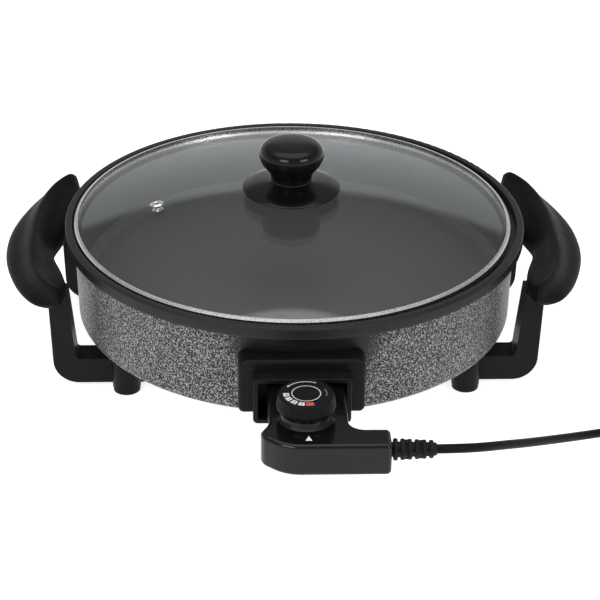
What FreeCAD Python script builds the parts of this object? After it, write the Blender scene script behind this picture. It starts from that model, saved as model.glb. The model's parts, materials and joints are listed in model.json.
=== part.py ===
"""Round electric party pan with a glass lid, four legs and a plug-in thermostat on a mains cord.

Frame: millimetres, +Z up, the socket towards -Y. The origin is on the table, on the pan's axis.
"""
import FreeCAD, Part
import math
import os

import Sketcher

os.makedirs("parts", exist_ok=True)
doc = FreeCAD.newDocument("PartyPan")

# ---------------------------------------------------------------- driving dimensions

SIZES = {
    # pan and shell
    "rim_radius": 205.0,
    "rim_top": 123.0,
    "rim_depth": 10.5,
    "ledge_height": 116.2,
    "pan_bore": 192.0,
    "floor_height": 62.5,
    "pan_gauge": 2.0,
    "shell_radius": 197.0,
    "shell_bottom": 35.5,
    "shell_gauge": 1.5,
    "shell_opening": 150.0,
    "base_plate_radius": 158.0,
    "base_screw_radius": 154.0,
    # heating
    "ring_radius": 110.0,
    "element_radius": 3.4,
    "terminal_height": 57.0,
    "terminal_offset": 15.0,
    "terminal_radius": 2.4,
    "probe_height": 56.0,
    "probe_radius": 3.5,
    "probe_tip": 110.0,
    "sleeve_radius": 4.4,
    "sleeve_bore": 3.9,
    # socket
    "block_half": 52.0,
    "block_low": 47.5,
    "block_high": 97.0,
    "block_face": 212.0,
    "shroud_half": 40.0,
    "shroud_low": 46.0,
    "shroud_high": 87.7,
    "shroud_face": 226.0,
    "well_half": 36.0,
    "well_low": 49.8,
    "well_high": 84.2,
    "well_floor": 203.0,
    "socket_screw_across": 44.0,
    "socket_screw_height": 54.5,
    # legs and feet
    "leg_outside": 215.5,
    "leg_width": 16.3,
    "leg_foot_width": 22.0,
    "leg_lean": 2.5,
    "grip_screw_inset": 8.2,
    "grip_screw_back": 12.0,
    "leg_front": 88.5,
    "leg_depth": 24.0,
    "leg_top": 89.8,
    "bar_low": 3.0,
    "bar_high": 27.0,
    "bar_end": 134.0,
    "foot_across": 149.5,
    "foot_along": 94.1,
    "foot_radius": 12.35,
    "pad_radius": 11.8,
    "pad_height": 3.0,
    "screw_across": 146.0,
    "screw_along": 72.0,
    # lid
    "glass_radius": 192.4,
    "dome_radius": 780.0,
    "dome_top": 146.0,
    "glass_gauge": 4.0,
    "lid_rim_radius": 194.8,
    "lid_rim_bore": 191.5,
    "lid_shift": 2.0,
    "knob_shift": 3.2,
    "vent_across": 122.8,
    "vent_along": 5.4,
    "flange_radius": 43.7,
    "knob_radius": 28.8,
    "knob_base": 157.4,
    "knob_top": 194.8,
    # thermostat
    "body_low": 52.2,
    "body_split": 64.2,
    "body_high": 80.0,
    "neck_left": 28.5,
    "neck_right": 34.5,
    "neck_end": 207.5,
    "arm_back": 286.5,
    "arm_front": 312.0,
    "arm_end": 66.5,
    "body_left": 34.7,
    "boss_left": 20.0,
    "boss_right": 27.0,
    "boss_along": 231.0,
    "dial_centre_x": 1.2,
    "dial_centre_y": 268.0,
    "dial_radius": 22.0,
    "dial_foot_radius": 23.6,
    "dial_low": 88.3,
    "dial_high": 101.0,
    "spindle_radius": 3.0,
    "relief_line": 299.0,
    "relief_height": 68.2,
    "relief_end": 102.0,
    # cord and plug
    "cord_radius": 3.75,
    "coil_x": 325.0,
    "coil_y": 113.5,
    "coil_inner_turn": 37.5,
    "coil_outer_turn": 45.0,
    "coil_entry": -70.0,
    "plug_radius": 19.0,
    "plug_pin_radius": 2.4,
    "plug_pin_length": 19.0,
    "plug_pin_spacing": 19.0,
}

sheet = doc.addObject("Spreadsheet::Sheet", "Sizes")
for row, (alias, size) in enumerate(SIZES.items(), start=1):
    sheet.set("A%d" % row, alias)
    sheet.set("B%d" % row, str(size))
    sheet.setAlias("B%d" % row, alias)
doc.recompute()


class Dim:
    """A size: its number, and the spreadsheet expression that drives it."""

    def __init__(self, value, text):
        self.value = float(value)
        self.text = text

    def __add__(self, other):
        other = dim(other)
        return Dim(self.value + other.value, "(%s + %s)" % (self.text, other.text))

    def __sub__(self, other):
        other = dim(other)
        return Dim(self.value - other.value, "(%s - %s)" % (self.text, other.text))

    def __rsub__(self, other):
        return dim(other) - self

    def __mul__(self, other):
        other = dim(other)
        return Dim(self.value * other.value, "(%s * %s)" % (self.text, other.text))

    def __neg__(self):
        return Dim(-self.value, "(0 - %s)" % self.text)

    __radd__ = __add__
    __rmul__ = __mul__


def dim(value):
    """A plain number as a Dim; a Dim as it is."""
    if isinstance(value, Dim):
        return value
    return Dim(value, "%.6g" % value if value >= 0 else "(0 - %.6g)" % -value)


def size(alias):
    return Dim(sheet.get(alias), "Sizes.%s" % alias)


# ---------------------------------------------------------------- construction helpers

parts = {}


def drive(obj, prop, value):
    """Set a property from the sheet."""
    obj.setExpression(prop, dim(value).text)


def place(obj, at, turn=None):
    """Put an object at a driven point, turned by (axis, degrees)."""
    if turn:
        rotation = FreeCAD.Rotation(FreeCAD.Vector(*turn[0]), turn[1])
        obj.Placement = FreeCAD.Placement(FreeCAD.Vector(), rotation)
    for letter, value in zip("xyz", at):
        drive(obj, "Placement.Base.%s" % letter, value)
    return obj


ALONG = {
    "z": None,
    "y": ((1, 0, 0), -90),
    "-y": ((1, 0, 0), 90),
    "x": ((0, 1, 0), 90),
    "-x": ((0, 1, 0), -90),
}


def box(corner, extent):
    obj = doc.addObject("Part::Box", "Box")
    for prop, value in zip(("Length", "Width", "Height"), extent):
        drive(obj, prop, value)
    return place(obj, corner)


def rod(radius, length, at, along="z"):
    """A round bar from a point along an axis."""
    obj = doc.addObject("Part::Cylinder", "Rod")
    drive(obj, "Radius", radius)
    drive(obj, "Height", length)
    return place(obj, at, ALONG[along])


def taper(radius_a, radius_b, length, at, along="z"):
    obj = doc.addObject("Part::Cone", "Taper")
    drive(obj, "Radius1", radius_a)
    drive(obj, "Radius2", radius_b)
    drive(obj, "Height", length)
    return place(obj, at, ALONG[along])


def ball(radius, at):
    obj = doc.addObject("Part::Sphere", "Ball")
    drive(obj, "Radius", radius)
    return place(obj, at)


def fuse(*pieces):
    obj = doc.addObject("Part::MultiFuse", "Fuse")
    obj.Shapes = list(pieces)
    obj.Refine = True
    return obj


def cut(base, *tools):
    obj = doc.addObject("Part::Cut", "Cut")
    obj.Base = base
    obj.Tool = tools[0] if len(tools) == 1 else fuse(*tools)
    return obj


def common(a, b):
    obj = doc.addObject("Part::Common", "Common")
    obj.Base = a
    obj.Tool = b
    return obj


def gather(*pieces):
    """Several separate solids of one kind."""
    obj = doc.addObject("Part::Compound", "Group")
    obj.Links = list(pieces)
    return obj


def tube(radius, bore, length, at, along="z"):
    return cut(rod(radius, length, at, along), rod(bore, length, at, along))


def part(name, obj):
    """Name a finished sub-part."""
    obj.Label = name
    parts[name] = obj
    return obj


def free_shape(shape):
    """A solid that neither a feature nor a primitive makes."""
    obj = doc.addObject("Part::Feature", "Form")
    obj.Shape = shape
    return obj


def outline(body, role, points):
    """A closed sketch whose corners are driven points, on one of the body's own planes."""
    sketch = body.newObject("Sketcher::SketchObject", "Outline")
    plane = [feature for feature in body.Origin.OriginFeatures if feature.Role == role][0]
    sketch.AttachmentSupport = [(plane, "")]
    sketch.MapMode = "FlatFace"
    points = [(dim(u), dim(v)) for u, v in points]
    count = len(points)
    corners = [FreeCAD.Vector(u.value, v.value, 0) for u, v in points]
    for index in range(count):
        sketch.addGeometry(Part.LineSegment(corners[index], corners[(index + 1) % count]), False)
    for index in range(count):
        sketch.addConstraint(Sketcher.Constraint("Coincident", index, 2, (index + 1) % count, 1))
    for index, (u, v) in enumerate(points):
        for kind, value in (("DistanceX", u), ("DistanceY", v)):
            number = sketch.addConstraint(Sketcher.Constraint(kind, -1, 1, index, 1, value.value))
            sketch.setExpression("Constraints[%d]" % number, value.text)
    return sketch


def round_edges(body, base, picks, radius):
    """Fillet the edges of a feature that a test picks."""
    doc.recompute()
    names = ["Edge%d" % (i + 1) for i, edge in enumerate(base.Shape.Edges) if picks(edge)]
    if not names:
        raise RuntimeError("no edge to round")
    fillet = body.newObject("PartDesign::Fillet", "Round")
    fillet.Base = (base, names)
    drive(fillet, "Radius", radius)
    body.Tip = fillet
    return fillet


def ring_edge(radius, height):
    """Tests for the circle of that radius at that height about the body's Z axis."""
    radius, height = dim(radius).value, dim(height).value

    def test(edge):
        curve = edge.Curve
        return (isinstance(curve, Part.Circle) and abs(curve.Radius - radius) < 0.05
                and abs(curve.Center.z - height) < 0.05)
    return test


def turned(points, rounds=(), at=(0, 0, 0), turn=None):
    """A piece turned about its own Z axis from (radius, height) corners."""
    body = doc.addObject("PartDesign::Body", "Turned")
    sketch = outline(body, "XZ_Plane", points)
    revolution = body.newObject("PartDesign::Revolution", "Turn")
    revolution.Profile = sketch
    revolution.ReferenceAxis = (sketch, ["V_Axis"])
    revolution.Angle = 360
    body.Tip = revolution
    feature = revolution
    for radius, height, rounding in rounds:
        feature = round_edges(body, feature, ring_edge(radius, height), rounding)
    return place(body, at, turn)


def corner_edge(axis, u, v):
    """Tests for the straight edge along an axis (0, 1 or 2) through the other two coordinates."""
    u, v = dim(u).value, dim(v).value
    others = [i for i in range(3) if i != axis]

    def test(edge):
        if not isinstance(edge.Curve, (Part.Line, Part.LineSegment)) or len(edge.Vertexes) != 2:
            return False
        a, b = edge.Vertexes[0].Point, edge.Vertexes[1].Point
        along = all(abs(a[i] - b[i]) < 0.01 for i in others)
        return along and abs(a[others[0]] - u) < 0.05 and abs(a[others[1]] - v) < 0.05
    return test


def in_plane(axis, value):
    """Tests for the edges that lie wholly in a plane across an axis."""
    value = dim(value).value

    def test(edge):
        bounds = edge.BoundBox
        low = (bounds.XMin, bounds.YMin, bounds.ZMin)[axis]
        high = (bounds.XMax, bounds.YMax, bounds.ZMax)[axis]
        return abs(low - value) < 0.01 and abs(high - value) < 0.01
    return test


def plate(role, points, thickness, rounds=(), at=(0, 0, 0)):
    """A prism of a driven outline. The pad runs +Z on XY_Plane, -Y on XZ_Plane and +X on YZ_Plane."""
    body = doc.addObject("PartDesign::Body", "Plate")
    sketch = outline(body, role, points)
    pad = body.newObject("PartDesign::Pad", "Pad")
    pad.Profile = sketch
    drive(pad, "Length", thickness)
    body.Tip = pad
    feature = pad
    for picks, radius in rounds:
        feature = round_edges(body, feature, picks, radius)
    return place(body, at)


def solid_along(points, radii, section_radius):
    """A round bar along straight runs joined by tangent arcs of the given radii."""
    vectors = [FreeCAD.Vector(*point) for point in points]
    edges = []
    start = vectors[0]
    for index in range(1, len(vectors) - 1):
        corner = vectors[index]
        back = (vectors[index - 1] - corner).normalize()
        ahead = (vectors[index + 1] - corner).normalize()
        half_turn = (math.pi - back.getAngle(ahead)) / 2
        reach = radii[index - 1] * math.tan(half_turn)
        first = corner + back * reach
        last = corner + ahead * reach
        bisector = (back + ahead).normalize()
        middle = corner + bisector * (radii[index - 1] * (1 / math.cos(half_turn) - 1))
        edges.append(Part.LineSegment(start, first).toShape())
        edges.append(Part.Arc(first, middle, last).toShape())
        start = last
    edges.append(Part.LineSegment(start, vectors[-1]).toShape())
    path = Part.Wire(edges)
    section = Part.Wire(Part.Circle(vectors[0], vectors[1] - vectors[0], section_radius).toShape())
    return path.makePipeShell([section], True, False), path.Length


def arc_radii(points):
    """The arc at each inner point: 0.45 of the shorter run, over the tangent of half the turn."""
    vectors = [FreeCAD.Vector(*point) for point in points]
    radii = []
    for before, corner, after in zip(vectors, vectors[1:], vectors[2:]):
        back, ahead = before - corner, after - corner
        half_turn = (math.pi - back.getAngle(ahead)) / 2
        radii.append(0.45 * min(back.Length, ahead.Length) / math.tan(half_turn))
    return radii


# Pan-head screws by thread: head radius, head height, shank radius
M25 = (2.8, 1.6, 1.3)
M3 = (3.2, 1.8, 1.6)
M35 = (3.6, 2.2, 1.85)
M4 = (4.0, 2.4, 1.9)
M4_WIDE = (5.5, 2.6, 2.0)


def screw(thread, shank_length, at, up=True):
    """A pan-head screw; `at` is the underside of its head."""
    head_radius, head_height, shank_radius = thread
    x, y, z = at
    if up:
        head = rod(head_radius, head_height, (x, y, dim(z) - head_height))
        shank = rod(shank_radius, shank_length, (x, y, z))
    else:
        head = rod(head_radius, head_height, (x, y, z))
        shank = rod(shank_radius, shank_length, (x, y, dim(z) - shank_length))
    return fuse(head, shank)


CORNERS = [
    ("front", "left", -1, -1),
    ("front", "right", -1, 1),
    ("rear", "left", 1, -1),
    ("rear", "right", 1, 1),
]


# ---------------------------------------------------------------- pan, shell and base

def cooking_pan():
    """Deep-drawn pan: flat floor, near-upright wall, a ledge for the lid and a rolled rim."""
    rim, top, bore = size("rim_radius"), size("rim_top"), size("pan_bore")
    ledge, floor, gauge = size("ledge_height"), size("floor_height"), size("pan_gauge")
    skirt = top - size("rim_depth")
    corner = bore - 1.5
    points = [
        (0, floor - gauge), (corner - 4, floor - gauge), (corner + 2, floor + 6),
        (bore + gauge, ledge - gauge), (rim - 4.8, ledge - gauge), (rim - 4.5, top - gauge),
        (rim - gauge, top - gauge), (rim - gauge, skirt), (rim, skirt), (rim, top), (rim - 6.5, top),
        (rim - 7, ledge), (bore, ledge), (corner, floor + 7), (corner - 6, floor), (0, floor),
    ]
    return turned(points, [(rim, top, 2.2), (rim - 6.5, top, 1.2), (corner - 6, floor, 5)])


def outer_shell():
    """Painted tub hung under the rim, with an inward flange at the bottom and a window for the socket."""
    radius, bottom, gauge = size("shell_radius"), size("shell_bottom"), size("shell_gauge")
    top = size("ledge_height") - size("pan_gauge") - 0.3
    points = [
        (size("shell_opening"), bottom), (radius - 1.5, bottom), (radius, top),
        (radius - gauge, top), (radius - 1.5 - gauge, bottom + gauge),
        (size("shell_opening"), bottom + gauge),
    ]
    tub = turned(points, [(radius - 1.5, bottom, 5), (radius - 1.5 - gauge, bottom + gauge, 3.5)])
    window = box((-22, -size("block_face"), 50.5), (44, 30, 12))
    holes = [rod(2.2, 6, (size("screw_across") * sx, size("screw_along") * sy, bottom - 2))
             for _, _, sy, sx in CORNERS]
    holes += [rod(2.2, 6, (size("foot_across") * sx, size("foot_along") * sy, bottom - 2))
              for _, _, sy, sx in CORNERS]
    diagonal = size("base_screw_radius") * math.sqrt(0.5)
    holes += [rod(1.7, 6, (diagonal * sx, diagonal * sy, bottom - 2)) for _, _, sy, sx in CORNERS]
    holes += [rod(2.0, 20, (size("socket_screw_across") * side, -180, size("socket_screw_height")), "-y")
              for side in (-1, 1)]
    return cut(tub, window, *holes)


def base_plate():
    """Pressed cover over the element, lying on the shell's flange, with a stiffening step."""
    radius, bottom, gauge = size("base_plate_radius"), size("shell_bottom"), size("shell_gauge")
    seat = bottom + gauge + 0.1
    points = [
        (0, seat - 2), (100, seat - 2), (104, seat), (radius, seat), (radius, seat + 1),
        (103.5, seat + 1), (99.5, seat - 1), (0, seat - 1),
    ]
    diagonal = size("base_screw_radius") * math.sqrt(0.5)
    holes = [rod(1.8, 6, (diagonal * sx, diagonal * sy, seat - 2)) for _, _, sy, sx in CORNERS]
    return cut(turned(points), *holes)


# ---------------------------------------------------------------- heating

def heating_element():
    """Tubular ring under the floor, its two ends turned forwards to the socket."""
    ring, offset = size("ring_radius").value, size("terminal_offset").value
    height, bend = size("terminal_height").value, 18.0
    bend_x = offset + bend
    bend_y = -math.sqrt((ring + bend) ** 2 - bend_x ** 2)
    share = ring / (ring + bend)
    joint = (bend_x * share, bend_y * share)
    swing = math.atan2(-bend_y, bend_x)
    angle = math.pi - swing / 2
    middle = (bend_x + bend * math.cos(angle), bend_y + bend * math.sin(angle))
    end_y = -198.0

    def at(x, y):
        return FreeCAD.Vector(x, y, height)
    path = Part.Wire([
        Part.LineSegment(at(-offset, end_y), at(-offset, bend_y)).toShape(),
        Part.Arc(at(-offset, bend_y), at(-middle[0], middle[1]), at(-joint[0], joint[1])).toShape(),
        Part.Arc(at(-joint[0], joint[1]), at(0, ring), at(joint[0], joint[1])).toShape(),
        Part.Arc(at(joint[0], joint[1]), at(middle[0], middle[1]), at(offset, bend_y)).toShape(),
        Part.LineSegment(at(offset, bend_y), at(offset, end_y)).toShape(),
    ])
    section = Part.Wire(Part.Circle(at(-offset, end_y), FreeCAD.Vector(0, 1, 0),
                                    size("element_radius").value).toShape())
    return free_shape(path.makePipeShell([section], True, False))


def element_clips():
    """Saddles welded under the floor, each holding the element up against it."""
    ring, tube_radius = size("ring_radius"), size("element_radius")
    top = size("floor_height") - size("pan_gauge") - 0.05
    clips = []
    for degrees in (0, 60, 120, 180):
        across = math.cos(math.radians(degrees))
        along = math.sin(math.radians(degrees))
        saddle = box((-7, -4, 0), (14, 8, top - size("terminal_height") + tube_radius + 1))
        groove = rod(tube_radius + 0.05, 10, (0, -5, tube_radius + 1), "y")
        way_in = box((-tube_radius - 0.05, -5, tube_radius + 1), (2 * tube_radius + 0.1, 10, 10))
        clip = cut(saddle, groove, way_in)
        rotation = FreeCAD.Rotation(FreeCAD.Vector(0, 0, 1), degrees)
        clip.Placement = FreeCAD.Placement(FreeCAD.Vector(), rotation)
        clips.append(place(clip, (ring * across, ring * along, size("terminal_height") - tube_radius - 1)))
    return gather(*clips)


def probe_sleeve():
    """Blind tube under the floor that takes the thermostat's probe."""
    length = size("well_floor") - 100
    start = (0, -size("well_floor"), size("probe_height"))
    bore = rod(size("sleeve_bore"), length - 2, start, "y")
    return cut(rod(size("sleeve_radius"), length, start, "y"), bore)


def terminals():
    """Pins, and the ceramic bushes that hold them in the socket's back wall."""
    pins, bushes = [], []
    height = size("terminal_height")
    for side in (-1, 1):
        x = size("terminal_offset") * side
        pins.append(rod(size("terminal_radius"), 23.8, (x, -222, height), "y"))
        bushes.append(tube(4.6, 2.5, 6, (x, -204.5, height), "y"))
    return gather(*pins), gather(*bushes)


def earth_tab():
    """Flat earth blade above the probe."""
    return box((-4, -216, 62.9), (8, 17.5, 0.8))


# ---------------------------------------------------------------- socket

def rectangle(half, low, high):
    return [(-half, low), (half, low), (half, high), (-half, high)]


def socket_block():
    """Moulded block on the front of the shell, with a well for the thermostat's nose."""
    half, low, high = size("block_half"), size("block_low"), size("block_high")
    depth, face = 28, size("block_face")
    block = plate("XZ_Plane", rectangle(half, low, high), depth, [
        (corner_edge(1, half, high), 8), (corner_edge(1, -half, high), 8),
        (corner_edge(1, half, low), 5), (corner_edge(1, -half, low), 5),
        (in_plane(1, -depth), 3),
    ], at=(0, depth - face, 0))
    shell = rod(size("shell_radius") + 0.05, 90, (0, 0, 30))
    well = box((-size("well_half"), -face - 1, size("well_low")),
               (2 * size("well_half"), face + 1 - size("well_floor"), size("well_high") - size("well_low")))
    holes = [rod(4.65, 20, (size("terminal_offset") * side, -face, size("terminal_height")), "y")
             for side in (-1, 1)]
    holes.append(rod(size("sleeve_radius") + 0.05, 20, (0, -face, size("probe_height")), "y"))
    holes.append(box((-4.2, -face, 62.7), (8.4, 20, 1.2)))
    holes += [rod(2.0, 30, (size("socket_screw_across") * side, -178, size("socket_screw_height")), "-y")
              for side in (-1, 1)]
    return cut(block, shell, well, *holes)


def socket_shroud():
    """Rectangular collar round the mouth of the well."""
    half, low, high = size("shroud_half"), size("shroud_low"), size("shroud_high")
    face, seat = size("shroud_face"), size("block_face")
    depth = face - seat - 0.05
    collar = plate("XZ_Plane", rectangle(half, low, high), depth, [
        (corner_edge(1, half, low), 4), (corner_edge(1, -half, low), 4),
        (corner_edge(1, half, high), 2), (corner_edge(1, -half, high), 2),
        (in_plane(1, -depth), 1),
    ], at=(0, -seat - 0.05, 0))
    mouth = box((-size("well_half"), -face - 1, size("well_low")),
                (2 * size("well_half"), depth + 2, size("well_high") - size("well_low")))
    return cut(collar, mouth)


def socket_screws():
    """Two screws from inside the shell into the block."""
    screws = []
    for side in (-1, 1):
        seat = (size("socket_screw_across") * side, -188.2, size("socket_screw_height"))
        screws.append(fuse(rod(3.6, 2, seat, "y"), rod(1.9, 18, seat, "-y")))
    return gather(*screws)


# ---------------------------------------------------------------- legs, feet and grips

def leg(side, end):
    """L-shaped corner leg: an upright under the grip, and a bar turned in under the shell."""
    outside, width, depth = size("leg_outside"), size("leg_width"), size("leg_depth")
    low, high, top = size("bar_low"), size("bar_high"), size("leg_top")
    lean, inside = outside - size("leg_lean"), outside - size("leg_foot_width")
    profile = [
        (outside * side, top), (lean * side, low), (size("bar_end") * side, low),
        (size("bar_end") * side, high), (inside * side, high), ((outside - width) * side, top),
    ]
    near = size("leg_front") if end > 0 else size("leg_depth") - size("leg_front")
    upright = plate("XZ_Plane", profile, depth, [
        (corner_edge(1, lean * side, low), 22),
        (corner_edge(1, inside * side, high), 3),
    ], at=(0, near, 0))
    x, y = size("screw_across") * side, size("screw_along") * end
    boss = rod(8, size("shell_bottom") - high + 1.9, (x, y, high - 2))
    under_foot = (size("foot_across") * side, size("foot_along") * end, -5)
    post = rod(size("foot_radius") + 0.05, 60, under_foot)
    bore = rod(2.1, 60, (x, y, 0))
    counterbore = rod(4.6, 9, (x, y, low - 1))
    across = (outside - size("grip_screw_inset")) * side
    along = (size("leg_front") - size("grip_screw_back")) * end
    pocket = box((across - 5, along - 5 if end < 0 else along - 18, 58), (10, 23, 20))
    hole = rod(2.1, 30, (across, along, 70))
    return cut(fuse(upright, boss), post, bore, counterbore, pocket, hole)


def foot(side, end):
    """Round post between the shell's flange and the table pad."""
    x, y = size("foot_across") * side, size("foot_along") * end
    height = size("shell_bottom") - size("pad_height") - 0.15
    post = turned([(0, 0), (size("foot_radius") - 0.8, 0), (size("foot_radius"), 0.8),
                   (size("foot_radius"), height), (0, height)], at=(x, y, size("pad_height") + 0.05))
    return cut(post, rod(2.1, 60, (x, y, 0)), rod(4.6, 6, (x, y, size("pad_height"))))


def grip_stations():
    """Stations from the middle of the grip to its end.

    Each gives: along Y, outer edge, crest and inner edge as distances across, then the heights of the
    crest, the inner edge, the lower inner edge, the outer lip and the underside.
    """
    return [
        (0, 258.2, 232.5, 217.0, 110.0, 85.0, 77.5, 97.0, 88.5),
        (30, 256.0, 232.3, 211.3, 110.0, 89.0, 76.5, 97.0, 88.5),
        (60, 249.0, 229.8, 205.2, 110.0, 96.0, 80.5, 97.0, 88.9),
        (85, 240.0, 223.5, 199.8, 111.5, 100.0, 91.0, 97.2, 89.8),
        (103, 230.2, 214.3, 200.2, 112.6, 103.0, 93.0, 97.5, 91.0),
        (112, 221.8, 208.5, 201.5, 111.8, 103.5, 94.5, 97.5, 92.3),
        (116, 215.5, 206.8, 202.6, 108.9, 103.5, 96.0, 98.6, 94.2),
        (118, 211.2, 206.6, 203.8, 106.2, 102.6, 98.2, 100.0, 96.6),
    ]


def grip(side):
    """Wing-shaped handle: a smooth loft through closed sections across it, seated on its two legs.

    Its inner face is scooped along the middle and rounds out towards both ends.
    """
    half = grip_stations()
    stations = [(-row[0],) + row[1:] for row in reversed(half[1:])] + half
    sections = []
    for along, outer, crest, inner, crest_z, inner_z, low_z, lip_z, under_z in stations:
        scoop = 1 - 2.2 * (abs(along) / half[-1][0]) ** 4
        ring = [
            (outer - 3, under_z), (outer, (under_z + lip_z) / 2), (outer - 2.5, lip_z),
            ((outer + crest) / 2 - 1, lip_z + 0.42 * (crest_z - lip_z)), (crest, crest_z),
            ((crest + inner) / 2 + scoop, (crest_z + inner_z) / 2 - scoop), (inner, inner_z),
            (inner + 1, low_z), ((outer + inner) / 2, min(under_z, low_z) - 0.5),
        ]
        curve = Part.BSplineCurve()
        curve.interpolate([FreeCAD.Vector(side * x, along, z) for x, z in ring], PeriodicFlag=True)
        sections.append(Part.Wire(curve.toShape()))
    wing = free_shape(Part.makeLoft(sections, True, False))
    slack = 0.05
    outside, width = size("leg_outside") + slack, size("leg_width") + 2 * slack
    seat = size("leg_top") + slack
    across = (size("leg_outside") - size("grip_screw_inset")) * side
    cuts = []
    for end in (-1, 1):
        near = size("leg_front") + slack if end > 0 else size("leg_depth") + slack - size("leg_front")
        left_edge = -outside if side < 0 else outside - width
        cuts.append(box((left_edge, near - size("leg_depth") - 2 * slack, 60),
                        (width, size("leg_depth") + 2 * slack, seat - 60)))
        cuts.append(rod(1.9, 12, (across, (size("leg_front") - size("grip_screw_back")) * end, 88)))
    return cut(wing, *cuts)


# ---------------------------------------------------------------- lid

def dome_height(radius):
    """Height of the glass's upper face at a distance from the axis."""
    sphere, top = size("dome_radius").value, size("dome_top").value
    return top - sphere + math.sqrt(sphere ** 2 - radius ** 2)


def lid_glass():
    """Domed tempered glass with a vent hole and a hole for the knob's screw."""
    sphere, top, gauge = size("dome_radius"), size("dome_top"), size("glass_gauge")
    x = -size("lid_shift")
    disc = rod(size("glass_radius"), 60, (x, 0, 100))
    cap = cut(common(ball(sphere, (x, 0, top - sphere)), disc), ball(sphere - gauge, (x, 0, top - sphere)))
    vent = rod(2.9, 30, (-size("vent_across"), -size("vent_along"), 120))
    return cut(cap, vent, rod(2.9, 30, (-size("knob_shift"), 0, 130)))


def lid_rim():
    """Stainless channel rolled round the glass's edge."""
    outside, bore, ledge = size("lid_rim_radius"), size("lid_rim_bore"), size("ledge_height")
    points = [
        (bore, ledge + 0.4), (outside - 0.8, ledge + 0.4), (outside, ledge + 1.6), (outside, ledge + 6.4),
        (outside - 1.2, ledge + 7.5), (bore, ledge + 7.9), (bore, ledge + 7.1),
        (outside - 1.4, ledge + 6.6),
        (outside - 1.0, ledge + 1.4), (bore, ledge + 1.2),
    ]
    return turned(points, at=(-size("lid_shift"), 0, 0))


def vent_grommet():
    """Steam vent eyelet pressed into the glass."""
    across = size("vent_across").value - size("lid_shift").value
    out = math.hypot(across, size("vent_along").value)
    gauge = size("glass_gauge").value
    points = [
        (1.7, -gauge - 1.2), (5.2, -gauge - 1.2), (5.2, -gauge - 0.7), (2.3, -gauge - 0.4), (2.3, 0.15),
        (5.9, 0.35), (6.2, 0.8), (4.4, 1.7), (2.6, 1.7), (1.7, 1.0),
    ]
    tilt = -math.degrees(math.asin(out / size("dome_radius").value))
    centre = (-size("vent_across"), -size("vent_along"), dome_height(out))
    return turned(points, at=centre, turn=((0, 1, 0), tilt))


def knob_flange():
    """Cone-shaped heat shield under the knob."""
    radius, top = size("flange_radius"), size("knob_base")
    glass = size("dome_top")
    return turned([(3, glass + 0.4), (14, glass + 0.3), (15, glass - 0.05), (17, glass + 0.6),
                   (radius - 1.2, glass + 3.6), (radius, glass + 4.4), (radius, glass + 5.2),
                   (radius - 1.2, glass + 6.2), (34, glass + 8.4), (25, glass + 9.9), (19, top - 0.3),
                   (17.6, top - 0.1), (3, top - 0.1)], at=(-size("knob_shift"), 0, 0))


def knob():
    """Mushroom knob on a waisted neck, bored for its screw."""
    radius, low, high = size("knob_radius"), size("knob_base"), size("knob_top")
    points = [
        (0, low + 16), (2.1, low + 16), (2.1, low), (17.2, low), (18.3, low + 0.8), (18.1, low + 2),
        (18.4, low + 5), (19.9, low + 9.6), (22.8, low + 13.2), (26.2, low + 17.6),
        (radius - 0.3, low + 23), (radius, low + 26), (radius - 0.7, high - 7.6),
        (radius - 3.2, high - 4.2), (radius - 7.2, high - 1.9), (radius - 13, high - 0.6),
        (7, high - 0.1), (0, high),
    ]
    return turned(points, at=(-size("knob_shift"), 0, 0))


def knob_fixing():
    """Silicone washer and steel screw under the glass."""
    underside = size("dome_top") - size("glass_gauge")
    x = -size("knob_shift")
    washer = tube(9, 2.4, 1.4, (x, 0, underside - 1.5))
    bolt = screw(M4_WIDE, 28, (x, 0, underside - 1.6))
    return washer, bolt


# ---------------------------------------------------------------- thermostat plug

def housing_outline():
    """Plan of the thermostat: a neck that enters the socket, and an arm turned to the right."""
    left, right = size("neck_left"), size("neck_right")
    return [
        (-left, -size("neck_end")), (-left, -277), (-size("body_left"), -289), (-size("body_left"), -296),
        (-16, -size("arm_front")), (size("arm_end"), -size("arm_front")),
        (size("arm_end"), -size("arm_back")), (right, -size("arm_back")), (right, -size("neck_end")),
    ]


def housing_rounds():
    """Upright corners of the housing, with their radii."""
    return [
        (corner_edge(2, -size("body_left"), -296), 12),
        (corner_edge(2, -16, -size("arm_front")), 34),
        (corner_edge(2, size("neck_right"), -size("arm_back")), 13),
        (corner_edge(2, size("arm_end"), -size("arm_front")), 4),
        (corner_edge(2, size("arm_end"), -size("arm_back")), 4),
        (corner_edge(2, -size("neck_left"), -277), 8),
    ]


def housing_cavity(low, high):
    """Room inside the neck and inside the arm."""
    neck = box((-25, -291, low), (56, 80.5, dim(high) - low))
    arm = box((-6, -309, low), (69, 20, dim(high) - low))
    return neck, arm


def boss_places():
    """Where the two closing screws stand, in plan."""
    return [(-size("boss_left"), -size("boss_along")), (size("boss_right"), -size("boss_along"))]


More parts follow.
